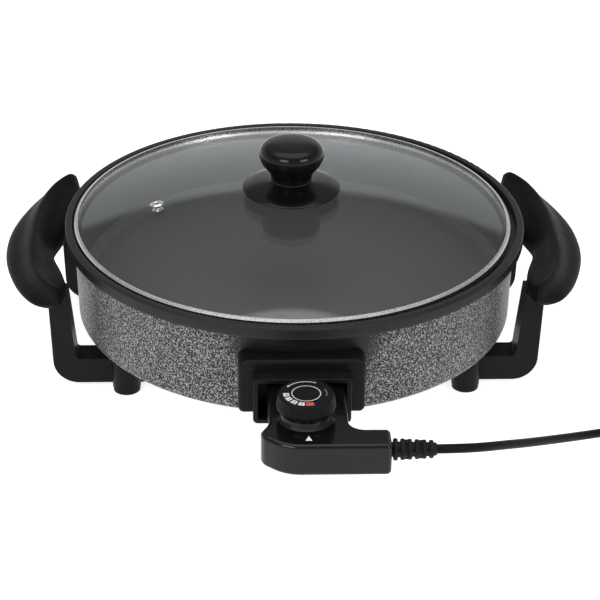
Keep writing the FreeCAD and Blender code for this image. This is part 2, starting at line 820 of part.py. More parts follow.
def thermostat_cover():
    """Upper half of the housing, with the dial's collar."""
    split, high = size("body_split"), size("body_high")
    shell = plate("XY_Plane", housing_outline(), high - split,
                  housing_rounds() + [(in_plane(2, high - split), 3.5)], at=(0, 0, split))
    x, y = size("dial_centre_x"), -size("dial_centre_y")
    collar = turned([(0, 0), (23.5, 0), (21.2, 1.6), (20.2, 5.2), (21, 5.6), (21, 7.9), (0, 7.9)],
                    at=(x, y, high - 0.1))
    neck, arm = housing_cavity(split - 1, high - 3.2)
    hollow = cut(fuse(shell, collar), neck, arm)
    bosses = [rod(3.8, high - split - 2, (across, along, split)) for across, along in boss_places()]
    pilots = [rod(1.35, 9, (across, along, split - 1)) for across, along in boss_places()]
    return cut(fuse(hollow, *bosses), *pilots, rod(size("spindle_radius") + 0.35, 30, (x, y, 60)),
               rod(size("cord_radius") + 0.05, 12, (58, -size("relief_line"), size("relief_height")), "x"),
               rod(6.05, 3, (65.5, -size("relief_line"), size("relief_height")), "x"))


def thermostat_base():
    """Lower half of the housing, deeper at the nose to hold the probe and contacts."""
    low, split = size("body_low"), size("body_split")
    shell = plate("XY_Plane", housing_outline(), split - low - 0.05,
                  housing_rounds() + [(in_plane(2, 0), 3.6)], at=(0, 0, low))
    nose = box((-size("neck_left"), -227.5, 50.3), (size("neck_left") + size("neck_right"), 20, 8))
    neck, arm = housing_cavity(low + 1.8, split + 1)
    deeper = box((-25, -225, 52), (56, 14.5, 8))
    holes = [rod(3.3, 8, (size("terminal_offset") * side, -214, size("terminal_height")), "y")
             for side in (-1, 1)]
    holes.append(rod(size("probe_radius") + 0.05, 8, (0, -214, size("probe_height")), "y"))
    holes.append(box((-4.8, -214, 62.4), (9.6, 8, 3)))
    hollow = cut(fuse(shell, nose), neck, arm, deeper)
    bosses = [rod(3.8, split - low - 0.1, (across, along, low + 0.05)) for across, along in boss_places()]
    for across, along in boss_places():
        holes.append(rod(2.95, 3, (across, along, low - 1)))
        holes.append(rod(1.5, 20, (across, along, low)))
    return cut(fuse(hollow, *bosses), *holes,
               rod(size("cord_radius") + 0.05, 12, (58, -size("relief_line"), size("relief_height")), "x"),
               rod(6.05, 3, (65.5, -size("relief_line"), size("relief_height")), "x"))


def probe_rod():
    """Round-nosed sensing probe."""
    radius, height = size("probe_radius"), size("probe_height")
    length = 224.6 - size("probe_tip") - radius
    tip = ball(radius, (0, -size("probe_tip") - radius, height))
    return fuse(rod(radius, length, (0, -224.6, height), "y"), tip)


def contact_sleeves():
    """Sprung brass sleeves that take the terminal pins."""
    outer, bore, length, start = 4.0, 2.9, 13.2, -224.4
    across, height = size("terminal_offset"), size("terminal_height")
    return gather(*[tube(outer, bore, length, (across * side, start, height), "y")
                    for side in (-1, 1)])


def switch_block():
    """Ceramic block that carries the thermostat's contacts."""
    floor = size("body_low") + 1.9
    return cut(box((-12, -262, floor), (24, 25.5, 68 - floor)), box((-6, -256, 62), (12, 14, 7)))


def contact_leaves():
    """Two spring leaves over the block, one moved by the dial's cam."""
    return gather(*[box((-3, -262, 68.2 + 2.4 * i), (7, 24, 0.5)) for i in (0, 1)])


def thermostat_screws():
    """Two screws that close the housing from below."""
    seat = size("body_low") + 1.95
    return gather(*[screw(M25, 15, (across, along, seat)) for across, along in boss_places()])


def dial():
    """Knurled temperature dial with a shallow recess in its top."""
    radius, foot_radius = size("dial_radius"), size("dial_foot_radius")
    low, high = size("dial_low"), size("dial_high")
    x, y = size("dial_centre_x"), -size("dial_centre_y")
    disc = turned([(0, 0), (foot_radius - 1, 0), (foot_radius - 0.4, 1.2), (foot_radius - 0.4, 2),
                   (foot_radius, 2.4), (radius + 0.2, high - low - 1.2), (radius - 0.8, high - low),
                   (0, high - low)], at=(x, y, low))
    return cut(disc, rod(size("spindle_radius"), 6, (x, y, low - 1)))


def dial_spindle():
    """Spindle from the dial down to its cam."""
    x, y = size("dial_centre_x"), -size("dial_centre_y")
    stem = rod(size("spindle_radius"), size("dial_low") + 4.9 - 74, (x, y, 74))
    return fuse(stem, rod(7, 2.2, (x, y, 73.5)))


def strain_relief():
    """Tapered ribbed sleeve where the cord leaves the arm."""
    x, y, z = size("arm_end") + 0.05, -size("relief_line"), size("relief_height")
    length = size("relief_end") - size("arm_end") - 0.05
    pieces = [taper(6.8, 5.5, length, (x, y, z), "x"), rod(6.0, 3, (x - 1, y, z), "x")]
    for index in range(6):
        pieces.append(rod(8.7 - 0.3 * index, 3.2, (x + 1.6 + 5.6 * index, y, z), "x"))
    return cut(fuse(*pieces), rod(size("cord_radius"), length + 4, (x - 2, y, z), "x"))


# ---------------------------------------------------------------- cord

def coil_point(degrees, radius, height):
    """A point of the coil, by its bearing about the coil's centre."""
    angle = math.radians(degrees)
    across, along = radius * math.cos(angle), radius * math.sin(angle)
    return (size("coil_x").value + across, -size("coil_y").value + along, height)


def cord_route():
    """Corners of the cord's route: out of the relief, down to the table, and round to the coil."""
    exit_x, line, height = size("relief_end").value, -size("relief_line").value, size("relief_height").value
    floor = size("cord_radius").value + 0.1
    return [
        (exit_x - 8, line, height), (exit_x + 17, line + 0.8, height - 0.3), (exit_x + 38, line + 12, 61.6),
        (exit_x + 56, line + 27.5, 53.2), (exit_x + 81, line + 51.4, 39.7),
        (exit_x + 108, line + 79.3, 24.5), (exit_x + 134, line + 103, 12.2),
        (exit_x + 160, line + 119.7, 5.2), (exit_x + 188, line + 129.5, floor),
        (exit_x + 215, line + 135.5, floor + 0.2),
        coil_point(size("coil_entry").value, size("coil_outer_turn").value, floor + 0.6),
    ]


def tail_route():
    """Corners of the short tail from the coil's top turn to the mains plug."""
    low = size("cord_radius").value * 3 + 0.8
    x, y, _ = coil_point(0, size("coil_outer_turn").value, low)
    return [(x, y, low), (x + 0.5, y + 18, low + 0.8), (x - 1.5, y + 38, low + 3.2),
            (x - 5, y + 57, size("plug_radius").value)]


def cord_tube(name, route):
    """Round tube along a route, with its arcs' radii and its volume printed."""
    radii = arc_radii(route)
    radius = size("cord_radius").value
    shape, length = solid_along(route, radii, radius)
    print(name, "arc radii", [round(r, 1) for r in radii], "length", round(length, 1),
          "volume ratio", round(shape.Volume / (math.pi * radius ** 2 * length), 4))
    return free_shape(shape)


def cord_coil():
    """Ring filled by the cord's put-away turns, two wide and two high."""
    radius = size("cord_radius")
    return tube(size("coil_outer_turn") + radius, size("coil_inner_turn") - radius, 4 * radius,
                (size("coil_x"), -size("coil_y"), 0.7))


def cord_tie():
    """Band round the coil's section."""
    radius = size("cord_radius")
    inner, outer = size("coil_inner_turn") - radius, size("coil_outer_turn") + radius
    height = 4 * radius
    x, y = size("coil_x") - outer, -size("coil_y")
    band = box((x - 1.2, y - 5, 0.05), (outer - inner + 2.4, 10, height + 1.4))
    return cut(band, box((x - 0.35, y - 6, 0.65), (outer - inner + 0.7, 12, height + 0.1)))


def plug_frame():
    """Where the plug starts and its turn: it lies on its side, pins away from the coil."""
    start = tail_route()[-1]
    before = tail_route()[-2]
    heading = math.degrees(math.atan2(start[1] - before[1], start[0] - before[0]))
    return start, heading


def lay_plug(obj):
    """Turn a piece made along +X at the origin to the plug's place."""
    start, heading = plug_frame()
    turn = FreeCAD.Rotation(FreeCAD.Vector(0, 0, 1), heading)
    obj.Placement = FreeCAD.Placement(FreeCAD.Vector(*start), turn).multiply(obj.Placement)
    return obj


def mains_plug():
    """Moulded two-pin earthed plug body with a necked cord entry."""
    radius = size("plug_radius")
    body = turned([(0, 0.05), (6.5, 0.05), (7.5, 12), (11, 15), (17.5, 22), (radius, 27), (radius, 42),
                   (radius - 1, 43.5), (0, 43.5)], turn=((0, 1, 0), 90))
    face_well = cut(body, tube(radius + 3, radius - 1.4, 5, (41, 0, 0), "x"))
    grooves = [box((28, side * (radius - 1.6) - (0 if side > 0 else 3), -4), (17, 3, 8))
               for side in (-1, 1)]
    return lay_plug(cut(face_well, *grooves))


def plug_pins():
    """Two round mains pins, rounded at their tips."""
    radius, length = size("plug_pin_radius"), size("plug_pin_length")
    pins = []
    for side in (-1, 1):
        y = size("plug_pin_spacing") * 0.5 * side
        shaft = rod(radius, length - radius, (43.55, y, 0), "x")
        pins.append(lay_plug(fuse(shaft, ball(radius, (43.55 + length - radius, y, 0)))))
    return gather(*pins)


# ---------------------------------------------------------------- fasteners and pads

def foot_pads():
    return gather(*[rod(size("pad_radius"), size("pad_height"), (size("foot_across") * side,
                        size("foot_along") * end, 0)) for _, _, end, side in CORNERS])


def foot_screws():
    """Screws up through the posts into the shell's flange."""
    seat = 8.95
    return gather(*[screw(M4, 30, (size("foot_across") * side, size("foot_along") * end, seat))
                    for _, _, end, side in CORNERS])


def leg_screws():
    """Screws up through the bars and bosses into the shell's flange."""
    seat = 10.95
    return gather(*[screw(M4, 28, (size("screw_across") * side, size("screw_along") * end, seat))
                    for _, _, end, side in CORNERS])


def base_screws():
    """Short screws down through the base plate's edge."""
    seat = size("shell_bottom") + size("shell_gauge") + 1.15
    diagonal = size("base_screw_radius") * math.sqrt(0.5)
    return gather(*[screw(M3, 4, (diagonal * side, diagonal * end, seat), up=False)
                    for _, _, end, side in CORNERS])


def grip_screws():
    """Screws from the pockets in the uprights up into the grips."""
    across = size("leg_outside") - size("grip_screw_inset")
    along = size("leg_front") - size("grip_screw_back")
    seat = 78
    return gather(*[screw(M35, 20, (across * side, along * end, seat)) for _, _, end, side in CORNERS])


def build():
    part("cooking_pan", cooking_pan())
    part("outer_shell", outer_shell())
    part("base_plate", base_plate())
    part("heating_element", heating_element())
    part("element_clips", element_clips())
    part("probe_sleeve", probe_sleeve())
    pins, bushes = terminals()
    part("terminal_pins", pins)
    part("pin_insulators", bushes)
    part("earth_tab", earth_tab())
    part("socket_block", socket_block())
    part("socket_shroud", socket_shroud())
    part("socket_screws", socket_screws())
    for end_name, side_name, end, side in CORNERS:
        part("leg_%s_%s" % (end_name, side_name), leg(side, end))
        part("foot_%s_%s" % (end_name, side_name), foot(side, end))
    part("foot_pads", foot_pads())
    part("foot_screws", foot_screws())
    part("leg_screws", leg_screws())
    part("base_screws", base_screws())
    part("grip_screws", grip_screws())
    part("left_grip", grip(-1))
    part("right_grip", grip(1))
    part("lid_glass", lid_glass())
    part("lid_rim", lid_rim())
    part("vent_grommet", vent_grommet())
    part("knob_flange", knob_flange())
    part("knob", knob())
    washer, bolt = knob_fixing()
    part("knob_washer", washer)
    part("knob_screw", bolt)
    part("thermostat_cover", thermostat_cover())
    part("thermostat_base", thermostat_base())
    part("probe_rod", probe_rod())
    part("contact_sleeves", contact_sleeves())
    part("switch_block", switch_block())
    part("contact_leaves", contact_leaves())
    part("thermostat_screws", thermostat_screws())
    part("dial", dial())
    part("dial_spindle", dial_spindle())
    part("strain_relief", strain_relief())
    part("cord_lead", cord_tube("cord_lead", cord_route()))
    part("cord_coil", cord_coil())
    part("cord_tail", cord_tube("cord_tail", tail_route()))
    part("cord_tie", cord_tie())
    part("mains_plug", mains_plug())
    part("plug_pins", plug_pins())


build()
doc.recompute()

for obj in doc.Objects:
    if "Invalid" in obj.State or "Error" in obj.State:
        raise RuntimeError("%s (%s) did not build: %s" % (obj.Name, obj.Label, obj.State))
for name, obj in parts.items():
    if obj.Shape.isNull() or not obj.Shape.isValid():
        raise RuntimeError("%s has no valid shape" % name)
    print(name, len(obj.Shape.Solids), round(obj.Shape.Volume), [round(v, 1) for v in (
        obj.Shape.BoundBox.XMin, obj.Shape.BoundBox.YMin, obj.Shape.BoundBox.ZMin,
        obj.Shape.BoundBox.XMax, obj.Shape.BoundBox.YMax, obj.Shape.BoundBox.ZMax)])
    obj.Shape.exportStep("parts/%s.step" % name)
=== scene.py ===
"""Looks of the round party pan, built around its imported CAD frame.

Shapes are in millimetres of the shared frame; lamps, camera and world are in metres.
"""

import json
import math

import bmesh
import bpy
from mathutils import Matrix, Vector


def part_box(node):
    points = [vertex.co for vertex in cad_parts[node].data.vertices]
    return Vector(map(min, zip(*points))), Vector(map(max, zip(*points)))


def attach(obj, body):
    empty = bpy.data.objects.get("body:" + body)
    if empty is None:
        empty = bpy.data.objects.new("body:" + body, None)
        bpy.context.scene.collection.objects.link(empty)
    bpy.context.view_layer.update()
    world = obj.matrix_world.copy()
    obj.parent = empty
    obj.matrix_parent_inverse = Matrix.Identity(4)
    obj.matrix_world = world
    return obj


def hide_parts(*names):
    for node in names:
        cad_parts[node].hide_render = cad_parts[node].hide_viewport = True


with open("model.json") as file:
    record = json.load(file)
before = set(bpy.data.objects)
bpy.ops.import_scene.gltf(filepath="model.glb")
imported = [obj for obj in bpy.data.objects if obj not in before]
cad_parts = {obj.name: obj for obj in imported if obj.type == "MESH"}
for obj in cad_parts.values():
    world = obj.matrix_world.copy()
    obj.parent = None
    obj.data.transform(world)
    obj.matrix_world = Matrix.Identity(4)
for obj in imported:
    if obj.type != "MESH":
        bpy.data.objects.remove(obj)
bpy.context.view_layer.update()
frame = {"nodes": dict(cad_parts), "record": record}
nodes = frame["nodes"]
MM = 0.001

# camera
CAMERA_TURN = (-2.237, 29.001, 0.729)        # yaw, elevation and roll, in degrees
CAMERA_PLACE = (-0.05531, -1.56456, 0.90363)
LENS = 116.93

# light: the sky's level by the sine of the elevation, from the horizon (0) to the zenith (1)
SKY_LEVELS = [(0.0, 0.80), (0.400, 0.80), (0.425, 0.25), (0.80, 0.46), (1.0, 0.85)]
SKY_TINT = (0.97, 0.99, 1.0)

# floor sheet: half its side, how far it lies under the feet, and its own light
FLOOR_REACH = 20000.0
FLOOR_DROP = 0.5
FLOOR_GLOW = 0.80

# painted shade on the shell above the socket block, below the rim, in metres
SHADE_CENTRE_X, SHADE_CENTRE_Z = 0.003, 0.100
SHADE_HALF_WIDTH, SHADE_HALF_HEIGHT = 0.066, 0.036

# heights between which the pan's coating darkens towards the rim, in metres
COATING_GREY_BELOW, COATING_BLACK_ABOVE = 0.104, 0.118

# share of a noise's range over which colours and gloss vary
NOISE_LOW, NOISE_HIGH = 0.3, 0.7

# cord, and its coil with the bearings in degrees where it starts, ends and changes lane
CORD_RADIUS = 3.75
EXIT_X, EXIT_Y, EXIT_Z = 102.0, -299.0, 68.2
COIL_CENTRE = (325.0, -113.5)
COIL_OUTER, COIL_INNER = 45.0, 37.5
COIL_LOW, COIL_HIGH = 4.45, 12.05
COIL_START, COIL_END, COIL_STEP = -70, 1080, 15
TURN_IN_AT, CLIMB_AT, TURN_OUT_AT = 230, 530, 890
LANE_CHANGE = 60

# dial and pointer
DIAL_RIBS = 66
DIAL_STOPS = (-105, -128, -151, -174)
HOUSING_TOP = 80.0
PRINT_THICKNESS = 0.05
POINTER = [(2.3, -297.0), (2.3, -297.0), (4.9, -303.8), (-0.4, -303.8)]

# strain relief
RELIEF_RIBS = 6
RELIEF_PITCH = 5.6
RELIEF_WEB_HALF = 2.0


# ---------------------------------------------------------------- camera and light

def make_camera():
    """A long lens in front of the pan and above it, with a slight roll."""
    yaw, elevation, roll = (math.radians(angle) for angle in CAMERA_TURN)
    back = Vector((math.sin(yaw) * math.cos(elevation),
                   -math.cos(yaw) * math.cos(elevation),
                   math.sin(elevation)))
    level = (-back).cross(Vector((0, 0, 1))).normalized()
    upright = level.cross(-back)
    right = math.cos(roll) * level + math.sin(roll) * upright
    up = math.cos(roll) * upright - math.sin(roll) * level
    data = bpy.data.cameras.new("camera")
    data.sensor_width = 36
    data.lens = LENS
    data.clip_end = 50
    camera = bpy.data.objects.new("camera", data)
    bpy.context.collection.objects.link(camera)
    turn = Matrix((right, up, back)).transposed().to_4x4()
    camera.matrix_world = Matrix.Translation(CAMERA_PLACE) @ turn
    bpy.context.scene.camera = camera


def area_light(name, at, aim, width, height, power, shape="RECTANGLE"):
    """A lamp of the given size and power, turned towards `aim`."""
    data = bpy.data.lights.new(name, "AREA")
    data.shape = shape
    data.size, data.size_y, data.energy = width, height, power
    lamp = bpy.data.objects.new(name, data)
    bpy.context.collection.objects.link(lamp)
    lamp.location = at
    lamp.rotation_euler = (Vector(aim) - Vector(at)).to_track_quat("-Z", "Y").to_euler()


def fill_ramp(colour_ramp, stops):
    """Set a colour ramp from (place, colour) pairs."""
    while len(colour_ramp.elements) < len(stops):
        colour_ramp.elements.new(0.5)
    for element, (place, colour) in zip(colour_ramp.elements, stops):
        element.position = place
        element.color = (*colour, 1)


def make_light():
    """A studio: a sky that changes with height, a broad lamp above and two lamps in front."""
    world = bpy.data.worlds.new("studio")
    world.use_nodes = True
    sky_nodes, sky_links = world.node_tree.nodes, world.node_tree.links
    direction = sky_nodes.new("ShaderNodeTexCoord")
    split = sky_nodes.new("ShaderNodeSeparateXYZ")
    sky = sky_nodes.new("ShaderNodeValToRGB")
    fill_ramp(sky.color_ramp, [(place, tuple(level * share for share in SKY_TINT))
                               for place, level in SKY_LEVELS])
    sky_links.new(direction.outputs["Generated"], split.inputs["Vector"])
    sky_links.new(split.outputs["Z"], sky.inputs["Fac"])
    sky_links.new(sky.outputs["Color"], sky_nodes["Background"].inputs["Color"])
    bpy.context.scene.world = world
    bpy.context.scene.view_settings.view_transform = "Standard"
    area_light("overhead", (0, 0.2, 2.2), (0, 0, 0), 2.8, 2.0, 20, "ELLIPSE")
    area_light("key_left", (-0.85, -1.45, 1.2), (0, 0, 0.1), 0.9, 0.6, 13)
    area_light("key_right", (1.35, -1.35, 1.2), (0, 0, 0.1), 0.9, 0.6, 13)


# ---------------------------------------------------------------- shapes

def add_mesh(name, vertices, faces, smooth=True):
    """A new piece from vertices in millimetres."""
    mesh = bpy.data.meshes.new(name)
    mesh.from_pydata([Vector(v) * MM for v in vertices], [], faces)
    for polygon in mesh.polygons:
        polygon.use_smooth = smooth
    piece = bpy.data.objects.new(name, mesh)
    bpy.context.collection.objects.link(piece)
    return piece


def tidy_normals(piece):
    """Merge doubled vertices and turn every face outwards."""
    shape = bmesh.new()
    shape.from_mesh(piece.data)
    bmesh.ops.remove_doubles(shape, verts=shape.verts, dist=1e-7)
    bmesh.ops.recalc_face_normals(shape, faces=shape.faces)
    shape.to_mesh(piece.data)
    shape.free()
    return piece


def curve_through(points, count):
    """A smooth line through the points, with `count` steps on each span."""
    line = []
    for index in range(len(points) - 1):
        a = Vector(points[max(index - 1, 0)])
        b, c = Vector(points[index]), Vector(points[index + 1])
        d = Vector(points[min(index + 2, len(points) - 1)])
        for step in range(count):
            t = step / count
            line.append(0.5 * ((2 * b) + (c - a) * t + (2 * a - 5 * b + 4 * c - d) * t ** 2
                               + (3 * b - a - 3 * c + d) * t ** 3))
    line.append(Vector(points[-1]))
    return line


def lathe(name, profile, centre, around=128, ripple=None, axis="z"):
    """A solid turned from (radius, height) points; `ripple` changes the radius by angle and height."""
    vertices, faces = [], []
    for radius, height in profile:
        for step in range(around):
            angle = 2 * math.pi * step / around
            out = max(radius, 0) + (ripple(angle, height) if ripple and radius > 1 else 0)
            across, along = out * math.cos(angle), out * math.sin(angle)
            local = (across, along, height) if axis == "z" else (height, across, along)
            vertices.append([centre[i] + local[i] for i in range(3)])
    for ring in range(len(profile) - 1):
        for step in range(around):
            ahead = (step + 1) % around
            faces.append((ring * around + step, ring * around + ahead,
                          (ring + 1) * around + ahead, (ring + 1) * around + step))
    faces.append(tuple(range(around - 1, -1, -1)))
    top = (len(profile) - 1) * around
    faces.append(tuple(range(top, top + around)))
    return tidy_normals(add_mesh(name, vertices, faces))


def soften(piece, width, angle=35):
    """Round the piece's edges that are sharper than `angle`."""
    bevel = piece.modifiers.new("round", "BEVEL")
    bevel.width = width * MM
    bevel.segments = 2
    bevel.limit_method = "ANGLE"
    bevel.angle_limit = math.radians(angle)


def block(name, low, high):
    """A box between two corners."""
    x0, y0, z0 = low
    x1, y1, z1 = high
    corners = [(x0, y0, z0), (x1, y0, z0), (x1, y1, z0), (x0, y1, z0),
               (x0, y0, z1), (x1, y0, z1), (x1, y1, z1), (x0, y1, z1)]
    faces = [(0, 3, 2, 1), (4, 5, 6, 7), (0, 1, 5, 4), (1, 2, 6, 5), (2, 3, 7, 6), (3, 0, 4, 7)]
    return add_mesh(name, corners, faces, smooth=False)


def join(name, pieces):
    """Several meshes as one piece."""
    whole = bmesh.new()
    for piece in pieces:
        piece.data.transform(piece.matrix_world)
        whole.from_mesh(piece.data)
        bpy.data.objects.remove(piece)
    mesh = bpy.data.meshes.new(name)
    whole.to_mesh(mesh)
    whole.free()
    joined = bpy.data.objects.new(name, mesh)
    bpy.context.collection.objects.link(joined)
    return joined


def on_circle(radius, degrees):
    """The point of a circle about the origin at a bearing."""
    angle = math.radians(degrees)
    return (radius * math.cos(angle), radius * math.sin(angle))


# ---------------------------------------------------------------- materials

def new_material(name, colour, roughness, metallic=0.0, coat=0.0, coat_roughness=0.1, specular=0.5):
    material = bpy.data.materials.new(name)
    material.use_nodes = True
    shader = shader_of(material)
    shader.inputs["Base Color"].default_value = (*colour, 1)
    shader.inputs["Roughness"].default_value = roughness
    shader.inputs["Metallic"].default_value = metallic
    shader.inputs["Coat Weight"].default_value = coat
    shader.inputs["Coat Roughness"].default_value = coat_roughness
    shader.inputs["Specular IOR Level"].default_value = specular
    return material


def shader_of(material):
    return material.node_tree.nodes["Principled BSDF"]


def add_node(material, kind, **inputs):
    """A new node with some of its inputs set."""
    node = material.node_tree.nodes.new(kind)
    for name, value in inputs.items():
        node.inputs[name].default_value = value
    return node


def link(material, start, end):
    material.node_tree.links.new(start, end)


def noise(material, scale, detail=3.0, rough=0.5):
    """Noise fixed to the piece's own coordinates."""
    place = add_node(material, "ShaderNodeTexCoord")
    texture = add_node(material, "ShaderNodeTexNoise", Scale=scale, Detail=detail, Roughness=rough)
    link(material, place.outputs["Object"], texture.inputs["Vector"])
    return texture.outputs["Fac"]


def position(material):
    """The X, Y and Z outputs of the shaded point's place in the shared frame."""
    place = add_node(material, "ShaderNodeTexCoord")
    split = add_node(material, "ShaderNodeSeparateXYZ")
    link(material, place.outputs["Object"], split.inputs["Vector"])
    return split.outputs


def maths(material, kind, *values):
    """The result of one arithmetic node on values or sockets."""
    node = add_node(material, "ShaderNodeMath")
    node.operation = kind
    for socket, value in zip(node.inputs, values):
        if isinstance(value, (int, float)):
            socket.default_value = value
        else:
            link(material, value, socket)
    return node.outputs[0]


def ramp(material, source, stops):
    node = add_node(material, "ShaderNodeValToRGB")
    fill_ramp(node.color_ramp, stops)
    link(material, source, node.inputs["Fac"])
    return node.outputs["Color"]


def vary_colour(material, source, low, high):
    colour = ramp(material, source, [(NOISE_LOW, low), (NOISE_HIGH, high)])
    link(material, colour, shader_of(material).inputs["Base Color"])


def vary_roughness(material, source, low, high):
    spread = add_node(material, "ShaderNodeMapRange")
    spread.inputs["From Min"].default_value = NOISE_LOW
    spread.inputs["From Max"].default_value = NOISE_HIGH
    spread.inputs["To Min"].default_value = low
    spread.inputs["To Max"].default_value = high
    link(material, source, spread.inputs["Value"])
    link(material, spread.outputs["Result"], shader_of(material).inputs["Roughness"])


def bump(material, source, strength, depth):
    node = add_node(material, "ShaderNodeBump", Strength=strength, Distance=depth * MM)
    link(material, source, node.inputs["Height"])
    link(material, node.outputs["Normal"], shader_of(material).inputs["Normal"])


def tone(level):
    """A grey with a slight blue cast."""
    return (level, level, level * 1.03)


def plain(name, low, high, roughness, scale, depth, strength=0.5, **extra):
    """A moulded or sheet surface: slight colour drift, uneven gloss and a fine texture."""
    material = new_material(name, high, roughness, **extra)
    vary_colour(material, noise(material, scale * 0.12), low, high)
    vary_roughness(material, noise(material, scale * 0.3),
                   roughness * 0.88, min(roughness * 1.14, 1))
    bump(material, noise(material, scale, 2), strength, depth)
    return material


def hammertone():
    """Grey paint with fine black and white speckle, with painted shade making it near-black above the
    socket block.
    """
    material = new_material("hammertone_paint", (0.3, 0.3, 0.31), 0.42, specular=0.3)
    fine = noise(material, 720, 1.2)
    speckle = ramp(material, fine, [(0.37, tone(0.003)), (0.46, tone(0.022)),
                                    (0.53, tone(0.088)), (0.63, tone(0.30))])
    # painted shade: a ragged ellipse on the front of the shell, between the rim and the socket block
    place = position(material)
    squares = []
    for value, middle, reach in ((place["X"], SHADE_CENTRE_X, SHADE_HALF_WIDTH),
                                 (place["Z"], SHADE_CENTRE_Z, SHADE_HALF_HEIGHT)):
        offset = maths(material, "DIVIDE", maths(material, "SUBTRACT", value, middle), reach)
        squares.append(maths(material, "POWER", maths(material, "ABSOLUTE", offset), 2.0))
    ellipse = maths(material, "ADD", *squares)
    ragged = maths(material, "ADD", ellipse, maths(material, "MULTIPLY", fine, 0.5))
    at_back = maths(material, "GREATER_THAN", place["Y"], 0.0)
    away = maths(material, "ADD", ragged, at_back)
    clear = ramp(material, maths(material, "MULTIPLY", away, 0.5),
                 [(0.44, (0, 0, 0)), (0.72, (1, 1, 1))])
    mix = add_node(material, "ShaderNodeMix")
    mix.data_type = "RGBA"
    link(material, clear, mix.inputs["Factor"])
    painted_shade_colour, unshaded_paint = (socket for socket in mix.inputs if socket.type == "RGBA")
    # the near-black colour of the painted shade
    painted_shade_colour.default_value = (*tone(0.006), 1)
    link(material, speckle, unshaded_paint)
    colour = next(socket for socket in mix.outputs if socket.type == "RGBA")
    link(material, colour, shader_of(material).inputs["Base Color"])
    bump(material, fine, 0.35, 0.12)
    return material


def nonstick():
    """Grey non-stick coating, darker where it wraps over the rim."""
    material = new_material("nonstick_coating", tone(0.05), 0.5, specular=0.3)
    vary_roughness(material, noise(material, 60), 0.49, 0.53)
    bump(material, noise(material, 1700, 2), 0.10, 0.010)
    uneven_height = maths(material, "MULTIPLY_ADD", noise(material, 40, 2), 0.004,
                          position(material)["Z"])
    shade = ramp(material, uneven_height, [(COATING_GREY_BELOW, tone(0.042)),
                                           (COATING_BLACK_ABOVE, tone(0.0045))])
    link(material, shade, shader_of(material).inputs["Base Color"])
    return material


def lid_glass_material():
    """Clear tempered glass: a mirror that shows only as much as the glass reflects."""
    material = new_material("tempered_glass", (0.93, 0.96, 0.97), 0.03, metallic=1.0)
    slant = add_node(material, "ShaderNodeLayerWeight", Blend=0.5)
    steep = maths(material, "POWER", slant.outputs["Facing"], 5.0)
    mirror = maths(material, "ADD", maths(material, "MULTIPLY", steep, 0.72), 0.040)
    smear = maths(material, "ADD", maths(material, "MULTIPLY", noise(material, 9, 2), 0.2), 0.9)
    link(material, maths(material, "MULTIPLY", mirror, smear), shader_of(material).inputs["Alpha"])
    return material


def metal(name, low, high, roughness):
    """Bare metal with fine wear in its gloss."""
    material = new_material(name, high, roughness, metallic=1.0)
    grain = noise(material, 700, 2, 0.6)
    vary_colour(material, noise(material, 30), low, high)
    vary_roughness(material, grain, roughness * 0.75, roughness * 1.35)
    bump(material, grain, 0.12, 0.03)
    return material


def printed(name, colour):
    """Printing ink."""
    return plain(name, tuple(0.92 * c for c in colour), colour, 0.45, 2500, 0.01, 0.2)


MATERIALS = {
    "nonstick": nonstick(),
    "hammertone": hammertone(),
    "zinc_steel": metal("zinc_plate", (0.42, 0.43, 0.45), (0.56, 0.57, 0.58), 0.42),
    "element_steel": metal("element_sheath", (0.12, 0.11, 0.10), (0.26, 0.24, 0.22), 0.5),
    "contact_metal": metal("plated_brass", (0.55, 0.50, 0.40), (0.70, 0.66, 0.56), 0.3),
    "ceramic": plain("ceramic", (0.70, 0.67, 0.60), (0.80, 0.77, 0.70), 0.6, 1200, 0.05),
    "black_matt": plain("moulded_phenolic", tone(0.0045), tone(0.0065), 0.42, 1500, 0.03, 0.4,
                        specular=0.12),
    "black_gloss": plain("gloss_black", tone(0.003), tone(0.004), 0.17, 500, 0.01, 0.08,
                         specular=0.20),
    "dial_black": plain("dial_black", tone(0.004), tone(0.006), 0.34, 1600, 0.02, 0.3,
                        specular=0.08),
    "rubber": plain("soft_rubber", tone(0.004), tone(0.006), 0.5, 1800, 0.04, 0.5,
                    specular=0.15),
    "cord_rubber": plain("cord_sheath", tone(0.004), tone(0.006), 0.38, 1500, 0.03, 0.3,
                         specular=0.07),
    "tie_plastic": plain("strap", tone(0.008), tone(0.012), 0.6, 2500, 0.08, 0.8,
                         specular=0.3),
    "silicone": plain("silicone", tone(0.30), tone(0.36), 0.45, 900, 0.03),
    "screw_steel": metal("screw_steel", (0.45, 0.45, 0.46), (0.62, 0.62, 0.62), 0.32),
    "stainless": metal("polished_stainless", (0.60, 0.59, 0.56), (0.74, 0.73, 0.70), 0.27),
    "lid_glass": lid_glass_material(),
}


def dress(piece, slot_name):
    """Give a new piece the material of one of the record's slots."""
    piece.data.materials.clear()
    piece.data.materials.append(MATERIALS[slot_name])
    return piece


def repaint(node, material):
    """Put one material on a CAD node."""
    for slot in node.material_slots:
        slot.material = material


# ---------------------------------------------------------------- cord

def coil_lane(degrees):
    """Radius and height of the coil at a bearing: out, in, up and out again."""

    def blend(start, a, b):
        share = min(max((degrees - start) / LANE_CHANGE, 0), 1)
        return a + (b - a) * share * share * (3 - 2 * share)

    inward = blend(TURN_IN_AT, COIL_OUTER, COIL_INNER)
    outward = blend(TURN_OUT_AT, 0, COIL_OUTER - COIL_INNER)
    return inward + outward, blend(CLIMB_AT, COIL_LOW, COIL_HIGH)


